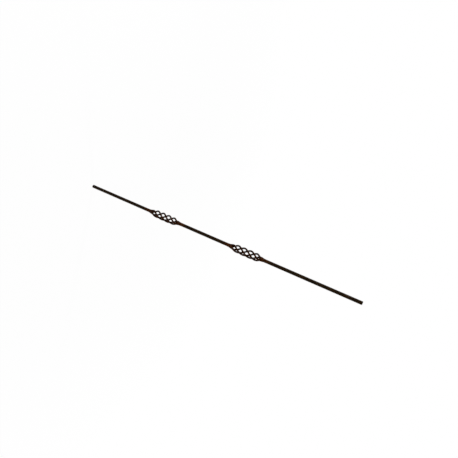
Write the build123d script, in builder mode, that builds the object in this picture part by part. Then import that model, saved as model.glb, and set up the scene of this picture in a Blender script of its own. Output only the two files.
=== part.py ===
"""Wrought iron stair baluster with two twisted baskets.

Three round bars stand in line. Between them sit two open baskets, each of four
rods that swell outwards and wind round the axis like the strands of a rope.
The rods are drawn thinner at both ends, gathered side by side there, and
welded to the ends of the bars.

Millimetres, +Z up, origin at the centre of the foot's end face.
"""

import os
from math import copysign, cos, radians, sin

from build123d import *

# Bars
BAR_DIAMETER = 12.0
BOTTOM_BAR_LENGTH = 279.3
MIDDLE_BAR_LENGTH = 197.2
TOP_BAR_LENGTH = 341.1
END_CHAMFER = 0.8

# Baskets
BASKET_LENGTH = 150.0
BASKET_DIAMETER = 29.7
RODS_PER_BASKET = 4
BASKET_TWIST = 472.0
STRAIGHTENING_LENGTH = 18.0
GATHERED_LENGTH = 10.0
OPENING_LENGTH = 26.0
BARREL_SHARE = 0.35
BELLY_ROD_ANGLE = 45.0

# Rods
ROD_DIAMETER = 6.2
THICKENING_LENGTH = 16.0
ROD_CLEARANCE = 0.1
WELD_LEDGE = 0.5
FLATS_PER_ROD = 12
PATH_POINTS = 21
ROD_SECTIONS = 19

# Rod ends: as thick as a whole bundle on the end of a bar allows, with a ledge left round it for the weld
ROD_SPACING_ANGLE = 360.0 / RODS_PER_BASKET
HALF_SPACING_SINE = sin(radians(ROD_SPACING_ANGLE / 2))
BUNDLE_DIAMETER = BAR_DIAMETER - 2 * WELD_LEDGE
ROD_END_DIAMETER = (BUNDLE_DIAMETER - ROD_CLEARANCE / HALF_SPACING_SINE) / (1 + 1 / HALF_SPACING_SINE)

# Rod centres at the middle of a basket
BELLY_RADIUS = (BASKET_DIAMETER - ROD_DIAMETER) / 2

# Levels of the ends and the welds along the axis
FOOT_LEVEL = 0.0
LOWER_BASKET_BOTTOM = FOOT_LEVEL + BOTTOM_BAR_LENGTH
LOWER_BASKET_TOP = LOWER_BASKET_BOTTOM + BASKET_LENGTH
UPPER_BASKET_BOTTOM = LOWER_BASKET_TOP + MIDDLE_BAR_LENGTH
UPPER_BASKET_TOP = UPPER_BASKET_BOTTOM + BASKET_LENGTH
HEAD_LEVEL = UPPER_BASKET_TOP + TOP_BAR_LENGTH


def ease(share):
    """Smooth step from 0 to 1, level at both ends."""
    held = min(max(share, 0.0), 1.0)
    return held * held * (3 - 2 * held)


def from_weld(height):
    """Distance to the nearer weld from a height above a basket's lower weld."""
    return min(height, BASKET_LENGTH - height)


def rod_diameter(height):
    """Diameter of a rod at a height above its basket's lower weld."""
    thickened = ease(from_weld(height) / THICKENING_LENGTH)
    return ROD_END_DIAMETER + (ROD_DIAMETER - ROD_END_DIAMETER) * thickened


def gathered_radius(diameter):
    """Distance from the axis to the centres of rods of a diameter that lie side by side."""
    return (diameter + ROD_CLEARANCE) / (2 * HALF_SPACING_SINE)


def reach(height):
    """Distance from the axis to a rod's centre at a height above its basket's lower weld.

    The rods leave the weld side by side, swing outwards over the opening length, and then bow
    gently to the middle of the basket.
    """
    opened = ease((from_weld(height) - GATHERED_LENGTH) / OPENING_LENGTH)
    bowed = 1 - BARREL_SHARE * (1 - 2 * from_weld(height) / BASKET_LENGTH) ** 2
    full_opening = BELLY_RADIUS - gathered_radius(ROD_DIAMETER)
    return gathered_radius(rod_diameter(height)) + full_opening * opened * bowed


def wound(height):
    """Angle in degrees that a rod winds from the middle of its basket to a height above the lower weld.

    The rod winds at a steady rate, and slows over the straightening length to run straight into each weld.
    """
    steady_rate = BASKET_TWIST / (BASKET_LENGTH - STRAIGHTENING_LENGTH)
    share = min(from_weld(height) / STRAIGHTENING_LENGTH, 1.0)
    slow_run = STRAIGHTENING_LENGTH * (share**3 - share**4 / 2)
    steady_run = max(from_weld(height) - STRAIGHTENING_LENGTH, 0.0)
    from_middle = BASKET_TWIST / 2 - steady_rate * (slow_run + steady_run)
    return copysign(from_middle, height - BASKET_LENGTH / 2)


def rod_centre(height, base_level, belly_angle):
    """Point on a rod's centre line at a height above its basket's lower weld."""
    angle = radians(belly_angle + wound(height))
    return Vector(reach(height) * cos(angle), reach(height) * sin(angle), base_level + height)


def section_plane(path, share):
    """Plane square to a rod's path at a share of its length, with X pointing away from the axis."""
    spot = path.position_at(share)
    run = path.tangent_at(share)
    outward = Vector(spot.X, spot.Y, 0)
    return Plane(origin=spot, x_dir=outward - run * outward.dot(run), z_dir=run)


def make_bar(name, bottom, top, free_end=None):
    """Make one round bar between two levels, with its rim chamfered at a free end, and write it."""
    with BuildPart() as bar:
        with Locations((0, 0, bottom)):
            Cylinder(BAR_DIAMETER / 2, top - bottom, align=(Align.CENTER, Align.CENTER, Align.MIN))
        if free_end is not None:
            rims = bar.edges().filter_by(GeomType.CIRCLE)
            chamfer(rims.filter_by_position(Axis.Z, free_end, free_end), END_CHAMFER)
    bar.part.label = name
    export_step(bar.part, f"parts/{name}.step")


def make_rod(name, base_level, belly_angle):
    """Sweep one tapering twisted rod of a basket between its two welds and write it."""
    heights = [BASKET_LENGTH * i / (PATH_POINTS - 1) for i in range(PATH_POINTS)]
    along_axis = (0, 0, 1)
    with BuildLine() as axis_line:
        Line((0, 0, base_level), (0, 0, base_level + BASKET_LENGTH))
    with BuildLine() as centre_line:
        Spline(
            *[rod_centre(height, base_level, belly_angle) for height in heights],
            tangents=[along_axis, along_axis],
            tangent_scalars=[1.0, 1.0],
        )
    path = centre_line.edge()
    with BuildPart() as rod:
        for i in range(ROD_SECTIONS):
            plane = section_plane(path, i / (ROD_SECTIONS - 1))
            with BuildSketch(plane):
                RegularPolygon(rod_diameter(plane.origin.Z - base_level) / 2, FLATS_PER_ROD)
        sweep(path=path, multisection=True, binormal=axis_line.edge())
    rod.part.label = name
    export_step(rod.part, f"parts/{name}.step")


os.makedirs("parts", exist_ok=True)

make_bar("bottom_bar", FOOT_LEVEL, LOWER_BASKET_BOTTOM, free_end=FOOT_LEVEL)
make_bar("middle_bar", LOWER_BASKET_TOP, UPPER_BASKET_BOTTOM)
make_bar("top_bar", UPPER_BASKET_TOP, HEAD_LEVEL, free_end=HEAD_LEVEL)

for basket, base_level in (("lower", LOWER_BASKET_BOTTOM), ("upper", UPPER_BASKET_BOTTOM)):
    for index in range(RODS_PER_BASKET):
        rod_angle = BELLY_ROD_ANGLE + index * ROD_SPACING_ANGLE
        make_rod(f"{basket}_basket_rod_{index + 1}", base_level, rod_angle)
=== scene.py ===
"""Looks of a wrought iron stair baluster with two twisted baskets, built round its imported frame.

Every length is in metres, in the frame's own axes: +Z up the baluster, origin at the foot.
"""

import logging
import math
from collections.abc import Iterable, Sequence
from dataclasses import dataclass, field, replace
from enum import Enum
from typing import Any

import bmesh
import bpy
from mathutils import Matrix, Vector, noise


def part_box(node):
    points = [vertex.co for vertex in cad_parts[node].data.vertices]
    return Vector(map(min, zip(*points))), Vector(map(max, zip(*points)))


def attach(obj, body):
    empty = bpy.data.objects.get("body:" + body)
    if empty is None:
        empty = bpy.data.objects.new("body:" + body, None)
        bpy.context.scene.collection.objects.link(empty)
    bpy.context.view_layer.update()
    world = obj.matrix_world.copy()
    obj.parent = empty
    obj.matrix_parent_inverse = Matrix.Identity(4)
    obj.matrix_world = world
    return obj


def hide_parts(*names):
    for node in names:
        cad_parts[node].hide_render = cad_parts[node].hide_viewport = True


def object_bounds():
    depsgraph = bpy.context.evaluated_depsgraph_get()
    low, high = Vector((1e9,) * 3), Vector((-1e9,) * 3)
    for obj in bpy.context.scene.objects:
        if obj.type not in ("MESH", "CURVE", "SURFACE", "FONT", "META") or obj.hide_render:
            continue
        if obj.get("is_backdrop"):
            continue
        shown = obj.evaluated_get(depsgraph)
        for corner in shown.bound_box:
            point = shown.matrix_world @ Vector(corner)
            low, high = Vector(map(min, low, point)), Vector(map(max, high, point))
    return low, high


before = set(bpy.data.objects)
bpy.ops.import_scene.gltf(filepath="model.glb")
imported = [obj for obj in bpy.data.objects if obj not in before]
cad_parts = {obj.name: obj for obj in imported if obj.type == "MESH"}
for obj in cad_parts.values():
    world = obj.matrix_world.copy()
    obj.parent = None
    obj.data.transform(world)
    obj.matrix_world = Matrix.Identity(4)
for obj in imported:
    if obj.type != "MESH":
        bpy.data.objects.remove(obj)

LOG = logging.getLogger("baluster")
BODY = "root"
UP = Vector((0.0, 0.0, 1.0))
COAT_THICKNESS = 0.00008

# Sockets of the mix nodes, by number, because their names repeat
FIRST_COLOUR = 6
SECOND_COLOUR = 7
MIXED_COLOUR = 2
FIRST_SHADER = 1
SECOND_SHADER = 2

# Noise in a mesh lies within its peak either side of 0, and noise in a material round its middle
NOISE_PEAK = 1.0
NOISE_MIDDLE = 0.5

Colour = tuple[float, float, float]
Place = tuple[float, float, float]
Pixel = tuple[float, float]


class Slot(Enum):
    """The record's material slots."""

    BAR = "bar_finish"
    BASKET = "basket_finish"


class Basket(Enum):
    """The two baskets, by the first word of their rods' names."""

    LOWER = "lower"
    UPPER = "upper"


class Side(Enum):
    """The side of a bar's end on which a basket's rods stand, as a sign along the axis."""

    ABOVE = 1.0
    BELOW = -1.0


class Value:
    """One shader output socket, with arithmetic that adds Math nodes to its graph."""

    def __init__(self, graph: "Graph", socket: bpy.types.NodeSocket) -> None:
        """Keep the socket and the graph it belongs to."""
        self.graph = graph
        self.socket = socket

    def math(self, operation: str, *operands: "Value | float", clamp: bool = False) -> "Value":
        """Add one Math node.

        Args:
            operation: Name of the Math node's operation.
            operands: Values in socket order.
            clamp: Whether the result is held between 0 and 1.

        Returns:
            The node's result.
        """
        settings = {"operation": operation, "use_clamp": clamp}
        return self.graph.value("ShaderNodeMath", settings, dict(enumerate(operands)))

    def __add__(self, other: "Value | float") -> "Value":
        """Sum of two values."""
        return self.math("ADD", self, other)

    __radd__ = __add__

    def __mul__(self, other: "Value | float") -> "Value":
        """Product of two values."""
        return self.math("MULTIPLY", self, other)

    __rmul__ = __mul__

    def __sub__(self, other: "Value | float") -> "Value":
        """This value less another."""
        return self.math("SUBTRACT", self, other)

    def __rsub__(self, other: "Value | float") -> "Value":
        """Another value less this one."""
        return self.math("SUBTRACT", other, self)

    def __truediv__(self, other: "Value | float") -> "Value":
        """This value over another."""
        return self.math("DIVIDE", self, other)

    def __rtruediv__(self, other: "Value | float") -> "Value":
        """Another value over this one."""
        return self.math("DIVIDE", other, self)

    def __abs__(self) -> "Value":
        """Size of this value without its sign."""
        return self.math("ABSOLUTE", self)

    def clamped(self) -> "Value":
        """This value held between 0 and 1."""
        return self.math("ADD", self, 0.0, clamp=True)

    def most(self, other: "Value | float") -> "Value":
        """The larger of two values."""
        return self.math("MAXIMUM", self, other)


class Graph:
    """A node tree that is filled from Python expressions."""

    def __init__(self, tree: bpy.types.NodeTree) -> None:
        """Empty the tree and keep it."""
        self.tree = tree
        tree.nodes.clear()

    def node(self, kind: str, settings: dict[str, Any], inputs: dict[Any, Any]) -> bpy.types.Node:
        """Add one node.

        Args:
            kind: The node's type name.
            settings: Attributes, which are set first.
            inputs: Values or links, by socket name or number.

        Returns:
            The new node.
        """
        made = self.tree.nodes.new(kind)
        for name, setting in settings.items():
            setattr(made, name, setting)
        for name, given in inputs.items():
            if isinstance(given, Value):
                self.tree.links.new(given.socket, made.inputs[name])
            else:
                made.inputs[name].default_value = given
        return made

    def value(
        self, kind: str, settings: dict[str, Any], inputs: dict[Any, Any], output: str | int = 0
    ) -> Value:
        """Add one node and read one of its outputs.

        Args:
            kind: The node's type name.
            settings: Attributes, which are set first.
            inputs: Values or links, by socket name or number.
            output: Name or number of the output.

        Returns:
            The chosen output.
        """
        return Value(self, self.node(kind, settings, inputs).outputs[output])

    def noise(self, vector: Value, scale: float, detail: float, roughness: float = 0.5) -> Value:
        """Add a noise texture.

        Args:
            vector: Where the texture is read.
            scale: Waves per metre of the vector.
            detail: Octaves.
            roughness: Share that each octave adds.

        Returns:
            The noise, round its middle.
        """
        inputs = {"Vector": vector, "Scale": scale, "Detail": detail, "Roughness": roughness}
        return self.value("ShaderNodeTexNoise", {}, inputs, "Fac")

    def vector(self, operation: str, *operands: Any, output: str | int = 0) -> Value:
        """Add one Vector Math node.

        Args:
            operation: Name of the operation.
            operands: Vectors in socket order.
            output: Name or number of the output.

        Returns:
            The node's result.
        """
        return self.value("ShaderNodeVectorMath", {"operation": operation}, dict(enumerate(operands)), output)

    def mix(self, factor: Value, first: Any, second: Any) -> Value:
        """Add a colour mix.

        Args:
            factor: 0 for the first colour, 1 for the second.
            first: Colour or link.
            second: Colour or link.

        Returns:
            The mixed colour.
        """
        settings = {"data_type": "RGBA", "clamp_factor": True}
        inputs = {"Factor": factor, FIRST_COLOUR: self.rgba(first), SECOND_COLOUR: self.rgba(second)}
        return self.value("ShaderNodeMix", settings, inputs, MIXED_COLOUR)

    def mix_shaders(self, factor: Value, first: Value, second: Value) -> Value:
        """Add a mix of two shaders.

        Args:
            factor: 0 for the first shader, 1 for the second.
            first: Link to a shader.
            second: Link to a shader.

        Returns:
            The mixed shader.
        """
        inputs = {"Fac": factor, FIRST_SHADER: first, SECOND_SHADER: second}
        return self.value("ShaderNodeMixShader", {}, inputs)

    @staticmethod
    def rgba(colour: Any) -> Any:
        """A colour with its alpha, or a link as it is."""
        return colour if isinstance(colour, Value) else (*colour, 1.0)


@dataclass(frozen=True)
class Surface:
    """What a material reads at each point of the metal."""

    position: Value
    normal: Value
    patches: Value
    speckle: Value


@dataclass(frozen=True)
class Tones:
    """Colours of a rubbed finish, and the share of it that is rubbed through."""

    dark: Colour
    brown: Colour
    copper: Colour
    rub: float


@dataclass(frozen=True)
class RubbedFinish:
    """Near-black brown finish on iron, rubbed back towards copper on the high spots and by the welds."""

    name: str
    tones: Tones
    weld_tones: Tones
    weld_reach: float
    sheen_tint: Colour
    specular: float

    # Broad patches and fine speckle
    patch_scale: float = 90.0
    patch_detail: float = 2.0
    speckle_scale: float = 1700.0
    speckle_detail: float = 3.0
    speckle_contrast: float = 0.65

    # Mottling from dark to brown
    mottle_by_patch: float = 1.1
    mottle_by_speckle: float = 1.2
    mottle_from: float = 0.65

    # Wear through to the copper
    wear_by_patch: float = 1.2
    wear_by_speckle: float = 2.2
    wear_outward: float = 0.4
    wear_from: float = 1.9

    # Gloss
    roughness: float = 0.33
    roughness_range: float = 0.2
    rub_polish: float = 0.06
    rub_metal: float = 0.75

    # Hammer marks and grain
    hammer_scale: float = 240.0
    hammer_detail: float = 1.0
    grain_share: float = 0.2
    bump_strength: float = 0.8
    bump_depth: float = 0.0004

    def material(self, weld_levels: Sequence[float]) -> bpy.types.Material:
        """Make the procedural material.

        Args:
            weld_levels: Heights of the welds, where the finish is rubbed most.

        Returns:
            The finished material.
        """
        made = bpy.data.materials.new(self.name)
        made.use_nodes = True
        graph = Graph(made.node_tree)
        surface = self._surface(graph)
        by_weld = self._weld_mask(graph, surface, weld_levels)
        rub = self._rub_mask(graph, surface, by_weld)
        dark = graph.mix(by_weld, self.tones.dark, self.weld_tones.dark)
        brown = graph.mix(by_weld, self.tones.brown, self.weld_tones.brown)
        copper = graph.mix(by_weld, self.tones.copper, self.weld_tones.copper)
        mottle = surface.patches * self.mottle_by_patch + surface.speckle * self.mottle_by_speckle
        mottled = graph.mix((mottle - self.mottle_from).clamped(), dark, brown)
        unevenness = surface.speckle + surface.patches - 2.0 * NOISE_MIDDLE
        roughness = self.roughness + unevenness * self.roughness_range - rub * self.rub_polish
        inputs = {
            "Base Color": graph.mix(rub, mottled, copper),
            "Roughness": roughness.clamped(),
            "Metallic": rub * self.rub_metal,
            "Normal": self._forged_normal(graph, surface),
            "Specular IOR Level": self.specular,
            "Specular Tint": graph.rgba(self.sheen_tint),
        }
        shader = graph.value("ShaderNodeBsdfPrincipled", {}, inputs)
        graph.node("ShaderNodeOutputMaterial", {}, {"Surface": shader})
        return made

    def _surface(self, graph: Graph) -> Surface:
        """Read the metal's place, its facing, and the broad and fine noise on it.

        Args:
            graph: The material's graph.

        Returns:
            What the other parts of the material are worked out from.
        """
        position = graph.value("ShaderNodeNewGeometry", {}, {}, "Position")
        return Surface(
            position=position,
            normal=graph.value("ShaderNodeNewGeometry", {}, {}, "Normal"),
            patches=graph.noise(position, self.patch_scale, self.patch_detail),
            speckle=graph.noise(position, self.speckle_scale, self.speckle_detail, self.speckle_contrast),
        )

    def _weld_mask(self, graph: Graph, surface: Surface, weld_levels: Sequence[float]) -> Value:
        """Work out how near the metal is to a weld.

        Args:
            graph: The material's graph.
            surface: What the material reads.
            weld_levels: Heights of the welds.

        Returns:
            1 at a weld, falling to 0 at the weld's reach.
        """
        height = graph.value("ShaderNodeSeparateXYZ", {}, {"Vector": surface.position}, "Z")
        nearness = [(1.0 - abs(height - level) / self.weld_reach).clamped() for level in weld_levels]
        nearest = nearness[0]
        for near in nearness[1:]:
            nearest = nearest.most(near)
        return nearest

    def _rub_mask(self, graph: Graph, surface: Surface, by_weld: Value) -> Value:
        """Work out where the dark coat is rubbed through.

        Args:
            graph: The material's graph.
            surface: What the material reads.
            by_weld: How near the metal is to a weld.

        Returns:
            A mask from 0 to 1.
        """
        radial = graph.vector("NORMALIZE", graph.vector("MULTIPLY", surface.position, (1.0, 1.0, 0.0)))
        outward = graph.vector("DOT_PRODUCT", surface.normal, radial, output="Value")
        wear = surface.patches * self.wear_by_patch + surface.speckle * self.wear_by_speckle
        worn = (wear + outward * self.wear_outward - self.wear_from).clamped()
        rub = self.tones.rub + by_weld * (self.weld_tones.rub - self.tones.rub)
        return (worn * rub).clamped()

    def _forged_normal(self, graph: Graph, surface: Surface) -> Value:
        """Lay shallow hammer marks under a slightly grained coat.

        Args:
            graph: The material's graph.
            surface: What the material reads.

        Returns:
            The bumped normal.
        """
        hammered = graph.noise(surface.position, self.hammer_scale, self.hammer_detail)
        height = hammered * (1.0 - self.grain_share) + surface.speckle * self.grain_share
        inputs = {"Strength": self.bump_strength, "Distance": self.bump_depth, "Height": height}
        return graph.value("ShaderNodeBump", {}, inputs)


BAR_TONES = Tones(
    dark=(0.0034, 0.0018, 0.0004), brown=(0.0132, 0.0069, 0.0021), copper=(0.08, 0.031, 0.009), rub=0.16
)
BASKET_TONES = Tones(
    dark=(0.0062, 0.0014, 0.0001), brown=(0.0178, 0.0049, 0.0006), copper=(0.13, 0.036, 0.007), rub=0.5
)
WELD_TONES = replace(BASKET_TONES, rub=0.8)
BAR_FINISH = RubbedFinish(
    name="bar_rubbed_brown",
    tones=BAR_TONES,
    weld_tones=WELD_TONES,
    weld_reach=0.022,
    sheen_tint=(1.0, 0.72, 0.48),
    specular=0.055,
    mottle_by_patch=2.2,
    mottle_by_speckle=2.0,
    mottle_from=1.6,
)
BASKET_FINISH = RubbedFinish(
    name="basket_rubbed_copper",
    tones=BASKET_TONES,
    weld_tones=WELD_TONES,
    weld_reach=0.034,
    sheen_tint=(1.0, 0.46, 0.2),
    specular=0.045,
)


def ease(share: float) -> float:
    """Smooth step from 0 to 1, level at both ends."""
    held = min(max(share, 0.0), 1.0)
    return held * held * (3.0 - 2.0 * held)


def spread(low: float, high: float, count: int) -> list[float]:
    """Evenly spaced values from low to high, both included."""
    return [low + (high - low) * i / (count - 1) for i in range(count)]


def around_axis(count: int) -> list[Vector]:
    """Unit vectors square to the axis, evenly round it."""
    angles = [math.tau * i / count for i in range(count)]
    return [Vector((math.cos(angle), math.sin(angle), 0.0)) for angle in angles]


def skin(name: str, rings: Sequence[Sequence[Vector]]) -> bpy.types.Object:
    """Join rings of points into one closed, smooth mesh.

    Args:
        name: The piece's name.
        rings: Rings of equal length, in order from one end to the other.

    Returns:
        The new object, in the scene.
    """
    built = bmesh.new()
    rows = [[built.verts.new(point) for point in ring] for ring in rings]
    count = len(rows[0])
    for lower, upper in zip(rows, rows[1:]):
        for i in range(count):
            j = (i + 1) % count
            built.faces.new((lower[i], lower[j], upper[j], upper[i])).smooth = True
    built.faces.new(list(reversed(rows[0])))
    built.faces.new(rows[-1])
    bmesh.ops.recalc_face_normals(built, faces=built.faces)
    mesh = bpy.data.meshes.new(name)
    built.to_mesh(mesh)
    built.free()
    piece = bpy.data.objects.new(name, mesh)
    bpy.context.scene.collection.objects.link(piece)
    return piece


@dataclass
class Bar:
    """One round bar, with its rim rounded over at a free end."""

    node: str
    bottom_free: bool = False
    top_free: bool = False
    rim_round: float = 0.0009
    hammer_depth: float = 0.00005
    hammer_scale: float = 120.0
    around: int = 40
    ring_step: float = 0.004
    rim_rings: int = 5
    bottom: float = field(init=False)
    top: float = field(init=False)
    radius: float = field(init=False)

    def __post_init__(self) -> None:
        """Take the bar's place and size from the frame."""
        low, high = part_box(self.node)
        self.bottom = low.z
        self.top = high.z
        self.radius = (high.x - low.x) / 2.0

    def _heights(self) -> list[float]:
        """Work out the heights of the rings, which are close together over the rims.

        Returns:
            Heights from the bottom to the top.
        """
        inner = round((self.top - self.bottom) / self.ring_step)
        body = spread(self.bottom + self.rim_round, self.top - self.rim_round, inner)
        turns = [math.pi / 2.0 * i / self.rim_rings for i in range(self.rim_rings)]
        depths = [self.rim_round * (1.0 - math.cos(turn)) for turn in turns]
        lower_rim = [self.bottom + depth for depth in depths]
        upper_rim = [self.top - depth for depth in reversed(depths)]
        return lower_rim + body + upper_rim

    def _rim_loss(self, depth: float) -> float:
        """Loss of radius at a depth in from a free end, where the rim is rounded over."""
        missing = max(self.rim_round - depth, 0.0)
        return self.rim_round - math.sqrt(self.rim_round**2 - missing**2)

    def _ring(self, height: float) -> list[Vector]:
        """Lay points round the bar, with shallow hammer marks.

        Args:
            height: Height above the foot.

        Returns:
            The ring's points.
        """
        radius = self.radius + COAT_THICKNESS
        if self.bottom_free:
            radius -= self._rim_loss(height - self.bottom)
        if self.top_free:
            radius -= self._rim_loss(self.top - height)
        ring = []
        for out in around_axis(self.around):
            spot = out * self.radius + UP * height
            mark = self.hammer_depth * (noise.noise(spot * self.hammer_scale) - NOISE_PEAK)
            ring.append(out * (radius + mark) + UP * height)
        return ring

    def build(self) -> bpy.types.Object:
        """Make the bar's mesh in place of its plain solid.

        Returns:
            The bar.
        """
        piece = skin(f"{self.node}_forged", [self._ring(height) for height in self._heights()])
        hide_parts(self.node)
        return piece

    def dress(self, piece: bpy.types.Object, finish: bpy.types.Material) -> None:
        """Give the bar its finish."""
        piece.data.materials.append(finish)


@dataclass
class TwistedBasket:
    """Four rods that open and wind from one bar's end to the next."""

    basket: Basket
    bar_radius: float
    rods: int = 4
    diameter: float = 0.0297
    rod_diameter: float = 0.0062
    rod_clearance: float = 0.0001
    weld_ledge: float = 0.0005
    thickening: float = 0.016
    gathered: float = 0.010
    opening: float = 0.026
    barrel_share: float = 0.35
    straightening: float = 0.018
    twist: float = math.radians(472.0)
    belly_angle: float = math.radians(45.0)
    hammer_depth: float = 0.00007
    hammer_scale: float = 190.0
    around: int = 24
    rings: int = 160
    slope_share: float = 0.25
    bottom: float = field(init=False)
    length: float = field(init=False)
    half_sine: float = field(init=False)
    rod_end_diameter: float = field(init=False)

    def __post_init__(self) -> None:
        """Take the basket's place from the frame, and size its rods' ends to fit on a bar."""
        low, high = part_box(self.rod_node(0))
        self.bottom = low.z
        self.length = high.z - low.z
        self.half_sine = math.sin(math.pi / self.rods)
        bundle = 2.0 * (self.bar_radius - self.weld_ledge)
        self.rod_end_diameter = (bundle - self.rod_clearance / self.half_sine) / (1.0 + 1.0 / self.half_sine)

    def rod_node(self, index: int) -> str:
        """Name of a rod's node."""
        return f"{self.basket.value}_basket_rod_{index + 1}"

    def _from_weld(self, height: float) -> float:
        """Distance to the nearer weld from a height above the lower one."""
        return min(height, self.length - height)

    def _thickness(self, height: float) -> float:
        """Diameter of a rod at a height above the lower weld."""
        thickened = ease(self._from_weld(height) / self.thickening)
        return self.rod_end_diameter + (self.rod_diameter - self.rod_end_diameter) * thickened

    def _gathered_radius(self, diameter: float) -> float:
        """Distance from the axis to the centres of rods of a diameter that lie side by side."""
        return (diameter + self.rod_clearance) / (2.0 * self.half_sine)

    def _reach(self, height: float) -> float:
        """Work out how far a rod's centre stands from the axis.

        Args:
            height: Height above the lower weld.

        Returns:
            Least at the welds, where the rods are gathered, and most at the basket's middle.
        """
        opened = ease((self._from_weld(height) - self.gathered) / self.opening)
        bowed = 1.0 - self.barrel_share * (1.0 - 2.0 * self._from_weld(height) / self.length) ** 2
        full_opening = (self.diameter - self.rod_diameter) / 2.0 - self._gathered_radius(self.rod_diameter)
        return self._gathered_radius(self._thickness(height)) + full_opening * opened * bowed

    def _wound(self, height: float) -> float:
        """Work out how far a rod has wound, at a steady rate that slows to nothing at each weld.

        Args:
            height: Height above the lower weld.

        Returns:
            The angle from the basket's middle.
        """
        steady_rate = self.twist / (self.length - self.straightening)
        share = min(self._from_weld(height) / self.straightening, 1.0)
        slow_run = self.straightening * (share**3 - share**4 / 2.0)
        steady_run = max(self._from_weld(height) - self.straightening, 0.0)
        from_middle = self.twist / 2.0 - steady_rate * (slow_run + steady_run)
        return math.copysign(from_middle, height - self.length / 2.0)

    def _centre(self, height: float, start: float) -> Vector:
        """Find a point on a rod's centre line.

        Args:
            height: Height above the lower weld.
            start: The rod's angle at the basket's middle.

        Returns:
            The point in the frame.
        """
        reach = self._reach(height)
        angle = start + self._wound(height)
        return Vector((reach * math.cos(angle), reach * math.sin(angle), self.bottom + height))

    def _run(self, height: float, start: float) -> Vector:
        """Find the direction of a rod's centre line, over a share of the rings' spacing.

        Args:
            height: Height above the lower weld.
            start: The rod's angle at the basket's middle.

        Returns:
            A unit vector, straight up at both welds.
        """
        step = min(self._from_weld(height), self.slope_share * self.length / self.rings)
        if step <= 0.0:
            return UP
        return (self._centre(height + step, start) - self._centre(height - step, start)).normalized()

    def _ring(self, height: float, start: float) -> list[Vector]:
        """Lay points round a rod, square to its line, with shallow hammer marks.

        Args:
            height: Height above the lower weld.
            start: The rod's angle at the basket's middle.

        Returns:
            The ring's points.
        """
        centre = self._centre(height, start)
        run = self._run(height, start)
        from_axis = Vector((centre.x, centre.y, 0.0))
        outward = (from_axis - run * from_axis.dot(run)).normalized()
        sideways = run.cross(outward)
        radius = self._thickness(height) / 2.0 + COAT_THICKNESS
        ring = []
        for turned in around_axis(self.around):
            out = outward * turned.x + sideways * turned.y
            spot = centre + out * radius
            mark = self.hammer_depth * noise.noise(spot * self.hammer_scale)
            ring.append(spot + out * mark)
        return ring

    def build(self) -> list[bpy.types.Object]:
        """Make the rods' meshes in place of their plain solids.

        Returns:
            The rods, in order round the axis.
        """
        pieces = []
        for index in range(self.rods):
            start = self.belly_angle + math.tau * index / self.rods
            rings = [self._ring(height, start) for height in spread(0.0, self.length, self.rings)]
            piece = skin(f"{self.rod_node(index)}_forged", rings)
            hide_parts(self.rod_node(index))
            pieces.append(piece)
        return pieces

    def dress(self, pieces: Iterable[bpy.types.Object], finish: bpy.types.Material) -> None:
        """Give the rods their finish.

        Args:
            pieces: The rods.
            finish: The baskets' material.
        """
        for piece in pieces:
            piece.data.materials.append(finish)


@dataclass
class Weld:
    """Weld metal ground to a flared neck on a bar's end, and run down into the throat between the rods."""

    name: str
    level: float
    rods: Side
    bar_radius: float

    # Toe on the bar
    toe_depth: float = 0.0001
    toe_length: float = 0.005

    # Crown round the rods' ends
    crown_rise: float = 0.0002
    flare: float = 0.05

    # Root between the rods
    root_radius: float = 0.0004
    root_length: float = 0.026
    fall_power: float = 2.6

    # Ripples of the laid metal
    ripple: float = 0.0001
    ripple_sink: float = 0.5
    ripple_scale: float = 600.0
    around: int = 48
    rings: int = 36

    def _radius(self, along: float) -> float:
        """Work out the weld's radius, which rises from the bar, flares, and falls away between the rods.

        Args:
            along: Distance from the bar's end face towards the basket.

        Returns:
            The radius.
        """
        crown = self.bar_radius + self.crown_rise
        if along < 0.0:
            return crown + (self.toe_depth + self.crown_rise) * (ease(1.0 + along / self.toe_length) - 1.0)
        flared = crown + self.flare * along
        return flared + (self.root_radius - flared) * (along / self.root_length) ** self.fall_power

    def _ring(self, along: float) -> list[Vector]:
        """Lay points round the weld, rippled as laid metal is.

        Args:
            along: Distance from the bar's end face towards the basket.

        Returns:
            The ring's points.
        """
        centre = UP * (self.level + self.rods.value * along)
        radius = self._radius(along)
        ring = []
        for out in around_axis(self.around):
            wave = noise.noise((centre + out * radius) * self.ripple_scale)
            ring.append(centre + out * (radius + self.ripple * (wave - self.ripple_sink)))
        return ring

    def build(self) -> bpy.types.Object:
        """Make the weld's mesh."""
        runs = spread(-self.toe_length, self.root_length, self.rings)
        return skin(self.name, [self._ring(along) for along in runs])

    def dress(self, piece: bpy.types.Object, finish: bpy.types.Material) -> None:
        """Give the weld the baskets' finish."""
        piece.data.materials.append(finish)


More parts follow.
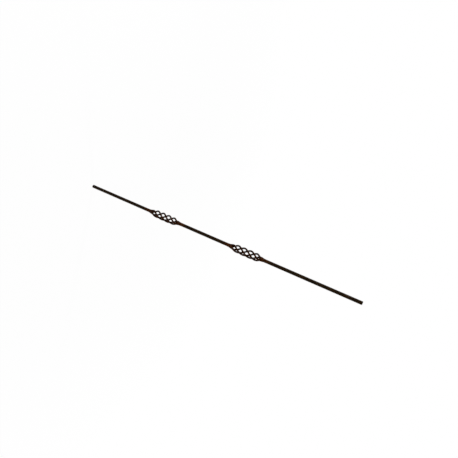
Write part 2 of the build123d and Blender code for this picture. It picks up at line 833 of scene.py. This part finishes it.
@dataclass(frozen=True)
class PhotoCamera:
    """The photograph's view, found from where the baluster's two ends stand in it."""

    image_px: float = 458.0
    focal_px: float = 480.0
    foot_px: Pixel = (93.3, 186.2)
    head_px: Pixel = (362.6, 303.4)
    foot_to_head_depth: float = 1.285
    turn_about_axis: float = math.radians(21.9)
    sensor: float = 36.0

    def _ray(self, pixel: Pixel) -> Vector:
        """Line of sight through a pixel: right, down and one unit forward."""
        half = self.image_px / 2.0
        return Vector(((pixel[0] - half) / self.focal_px, (pixel[1] - half) / self.focal_px, 1.0))

    def pose(self, length: float) -> Matrix:
        """Work out the camera's pose.

        Args:
            length: The baluster's length from foot to head.

        Returns:
            The camera's matrix in the frame.
        """
        foot_ray = self._ray(self.foot_px) * self.foot_to_head_depth
        head_ray = self._ray(self.head_px)
        head_depth = length / (foot_ray - head_ray).length
        axis = (head_ray - foot_ray).normalized()
        picture_up = Vector((0.0, -1.0, 0.0))
        upper_side = (picture_up - axis * picture_up.dot(axis)).normalized()
        facing_side = axis.cross(upper_side)
        cosine = math.cos(self.turn_about_axis)
        sine = math.sin(self.turn_about_axis)
        x_axis = facing_side * sine - upper_side * cosine
        y_axis = -upper_side * sine - facing_side * cosine
        seen = Matrix((x_axis, y_axis, axis)).transposed().to_4x4()
        seen.translation = foot_ray * head_depth
        # Lines of sight run right, down and forward, and a camera's axes right, up and backward
        return seen.inverted() @ Matrix.Diagonal((1.0, -1.0, -1.0, 1.0))

    def build(self, length: float) -> bpy.types.Object:
        """Make the camera and put it in charge of the scene.

        Args:
            length: The baluster's length from foot to head.

        Returns:
            The camera.
        """
        data = bpy.data.cameras.new("photo_camera")
        data.sensor_width = self.sensor
        data.lens = self.sensor * self.focal_px / self.image_px
        camera = bpy.data.objects.new("photo_camera", data)
        bpy.context.scene.collection.objects.link(camera)
        camera.matrix_world = self.pose(length)
        bpy.context.scene.camera = camera
        return camera


@dataclass(frozen=True)
class Lamp:
    """One soft rectangular lamp that faces the baluster."""

    name: str
    place: Place
    aim: Place
    width: float
    height: float
    power: float

    def build(self) -> bpy.types.Object:
        """Make the lamp.

        Returns:
            The lamp, in the scene.
        """
        data = bpy.data.lights.new(self.name, "AREA")
        data.shape = "RECTANGLE"
        data.size = self.width
        data.size_y = self.height
        data.energy = self.power
        lamp = bpy.data.objects.new(self.name, data)
        bpy.context.scene.collection.objects.link(lamp)
        lamp.location = self.place
        facing = Vector(self.aim) - Vector(self.place)
        lamp.rotation_mode = "QUATERNION"
        lamp.rotation_quaternion = facing.to_track_quat("-Z", "Y")
        return lamp


KEY_LAMP = Lamp(
    name="key_lamp", place=(-1.25, -0.75, 1.2), aim=(0.0, 0.0, 0.75), width=0.08, height=1.7, power=11.0
)
FILL_LAMP = Lamp(
    name="fill_lamp", place=(0.5, -1.3, 2.3), aim=(0.0, 0.0, 0.6), width=0.3, height=0.3, power=10.0
)
BACK_LAMP = Lamp(
    name="back_lamp", place=(1.0, 1.2, 1.5), aim=(0.0, 0.0, 0.6), width=0.1, height=1.2, power=8.0
)


@dataclass(frozen=True)
class Studio:
    """White floor, white surroundings and soft lamps."""

    floor_half: float = 30.0
    floor_colour: Colour = (0.9, 0.9, 0.9)
    white: Colour = (1.0, 1.0, 1.0)
    white_strength: float = 1.0
    floor_glow: float = 0.94
    fade_from: float = 0.5
    fade_length: float = 1.2
    ambient: float = 0.55
    lamps: tuple[Lamp, ...] = (KEY_LAMP, FILL_LAMP, BACK_LAMP)

    @staticmethod
    def _seen_directly(graph: Graph) -> Value:
        """Tell the rays that show a surface from those that only carry its light.

        Args:
            graph: The graph that asks.

        Returns:
            1 for a ray from the camera, from a reflection or through glass, otherwise 0.
        """
        rays = ("Is Camera Ray", "Is Glossy Ray", "Is Transmission Ray")
        seen = [graph.value("ShaderNodeLightPath", {}, {}, ray) for ray in rays]
        return seen[0].most(seen[1]).most(seen[2])

    def _floor_material(self) -> bpy.types.Material:
        """Make a white floor that keeps a faint shadow and fades into its surroundings.

        Returns:
            The floor's material.
        """
        made = bpy.data.materials.new("studio_floor")
        made.use_nodes = True
        graph = Graph(made.node_tree)
        matt = graph.value("ShaderNodeBsdfDiffuse", {}, {"Color": graph.rgba(self.floor_colour)})
        lit = {"Color": graph.rgba(self.white), "Strength": self.white_strength}
        glow = graph.value("ShaderNodeEmission", {}, lit)
        position = graph.value("ShaderNodeNewGeometry", {}, {}, "Position")
        distance = graph.vector("LENGTH", position, output="Value")
        faded = ((distance - self.fade_from) / self.fade_length).clamped()
        share = self._seen_directly(graph) * (self.floor_glow + faded * (1.0 - self.floor_glow))
        surface = graph.mix_shaders(share, matt, glow)
        graph.node("ShaderNodeOutputMaterial", {}, {"Surface": surface})
        return made

    def _build_floor(self) -> None:
        """Lay the floor under the baluster's foot."""
        corners = [(-1.0, -1.0), (1.0, -1.0), (1.0, 1.0), (-1.0, 1.0)]
        spots = [(x * self.floor_half, y * self.floor_half, 0.0) for x, y in corners]
        mesh = bpy.data.meshes.new("studio_floor")
        mesh.from_pydata(spots, [], [tuple(range(len(spots)))])
        mesh.materials.append(self._floor_material())
        floor = bpy.data.objects.new("studio_floor", mesh)
        bpy.context.scene.collection.objects.link(floor)
        floor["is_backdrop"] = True

    def _build_world(self) -> None:
        """Surround the baluster with white for the eye, and with plain even light for its surface."""
        world = bpy.data.worlds.new("studio_white")
        world.use_nodes = True
        bpy.context.scene.world = world
        graph = Graph(world.node_tree)
        white = graph.rgba(self.white)
        lighting = graph.value("ShaderNodeBackground", {}, {"Color": white, "Strength": self.ambient})
        backdrop = graph.value("ShaderNodeBackground", {}, {"Color": white, "Strength": self.white_strength})
        surface = graph.mix_shaders(self._seen_directly(graph), lighting, backdrop)
        graph.node("ShaderNodeOutputWorld", {}, {"Surface": surface})

    def build(self) -> None:
        """Make the floor, the world and the lamps."""
        self._build_floor()
        self._build_world()
        for lamp in self.lamps:
            lamp.build()


def place(piece: bpy.types.Object) -> None:
    """Ride a finished piece on the baluster's one body and report it."""
    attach(piece, BODY)
    LOG.info("%s: %d faces", piece.name, len(piece.data.polygons))


def main() -> None:
    """Build the baluster's pieces, dress them, and set up the studio and the camera."""
    logging.basicConfig(level=logging.INFO, format="%(message)s")
    cad_low, cad_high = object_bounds()
    bottom_bar = Bar("bottom_bar", bottom_free=True)
    middle_bar = Bar("middle_bar")
    top_bar = Bar("top_bar", top_free=True)
    weld_radius = middle_bar.radius
    welds = [
        Weld("lower_basket_bottom_weld", bottom_bar.top, Side.ABOVE, weld_radius),
        Weld("lower_basket_top_weld", middle_bar.bottom, Side.BELOW, weld_radius),
        Weld("upper_basket_bottom_weld", middle_bar.top, Side.ABOVE, weld_radius),
        Weld("upper_basket_top_weld", top_bar.bottom, Side.BELOW, weld_radius),
    ]
    weld_levels = [weld.level for weld in welds]
    bar_material = BAR_FINISH.material(weld_levels)
    basket_material = BASKET_FINISH.material(weld_levels)

    for bar in (bottom_bar, middle_bar, top_bar):
        piece = bar.build()
        bar.dress(piece, bar_material)
        place(piece)
    for basket in (TwistedBasket(which, weld_radius) for which in Basket):
        pieces = basket.build()
        basket.dress(pieces, basket_material)
        for piece in pieces:
            place(piece)
    for weld in welds:
        piece = weld.build()
        weld.dress(piece, basket_material)
        place(piece)

    Studio().build()
    PhotoCamera().build(cad_high.z - cad_low.z)
    bpy.context.scene.view_settings.view_transform = "Standard"


if __name__ == "__main__":
    main()
